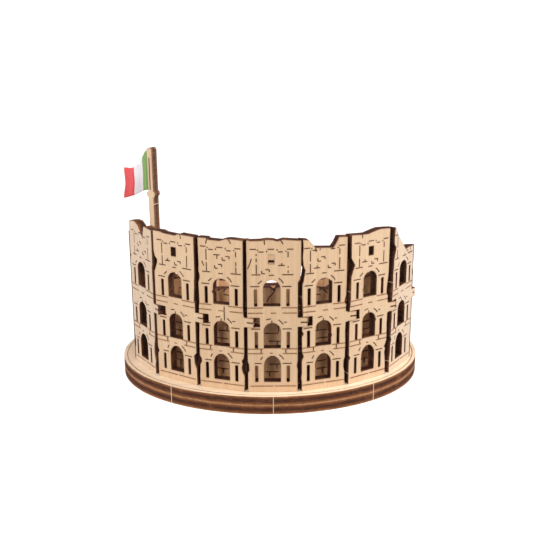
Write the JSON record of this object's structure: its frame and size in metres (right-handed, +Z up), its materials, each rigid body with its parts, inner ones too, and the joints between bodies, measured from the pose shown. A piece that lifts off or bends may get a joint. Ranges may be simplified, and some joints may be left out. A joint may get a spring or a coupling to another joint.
{
  "type": "miniature landmark model",
  "caption": "Souvenir model of an oval ancient amphitheatre, built from laser-cut plywood plates hooked together on a two-ply base, with a paper flag on a mast.",
  "frame": {"origin": "middle of the underside of the oval base, on the table", "axes": "+Z up; -Y is the front, where the tallest part of the wall faces; +X to the right along the oval's long axis"},
  "size_m": [0.1032, 0.0812, 0.0801],
  "materials": {
    "wall_plywood": "matte",
    "ring_plywood": "matte",
    "base_plywood": "matte",
    "mast_plywood": "matte",
    "flag_paper": "matte"
  },
  "bodies": {
    "model": {"base_lower": "base_plywood", "base_upper": "base_plywood", "seating_tier_lower": "ring_plywood", "seating_tier_upper": "ring_plywood", "wall_plate_1": "wall_plywood", "wall_plate_2": "wall_plywood", "wall_plate_3": "wall_plywood", "wall_plate_4": "wall_plywood", "wall_plate_5": "wall_plywood", "wall_plate_6": "wall_plywood", "wall_plate_7": "wall_plywood", "wall_plate_8": "wall_plywood", "wall_plate_9": "wall_plywood", "wall_plate_10": "wall_plywood", "wall_plate_11": "wall_plywood", "wall_plate_12": "wall_plywood", "wall_plate_13": "wall_plywood", "wall_plate_14": "wall_plywood", "wall_plate_15": "wall_plywood", "wall_plate_16": "wall_plywood", "window_plug": "wall_plywood", "ring_plate_1": "ring_plywood", "ring_plate_2": "ring_plywood", "ring_plate_3": "ring_plywood", "ring_plate_4": "ring_plywood", "ring_plate_5": "ring_plywood", "ring_plate_6": "ring_plywood", "ring_plate_7": "ring_plywood", "ring_plate_8": "ring_plywood", "ring_plate_9": "ring_plywood", "ring_plate_10": "ring_plywood", "ring_plate_11": "ring_plywood", "ring_plate_12": "ring_plywood", "ring_plate_13": "ring_plywood", "ring_plate_14": "ring_plywood", "ring_plate_15": "ring_plywood", "ring_plate_16": "ring_plywood"},
    "mast": {"flag_mast": "mast_plywood", "flag": "flag_paper"}
  },
  "joints": [
    {"name": "mast_lift", "type": "slide", "parent": "model", "child": "mast", "axis": [0, 0, 1], "range_m": [0, 0.055]}
  ]
}
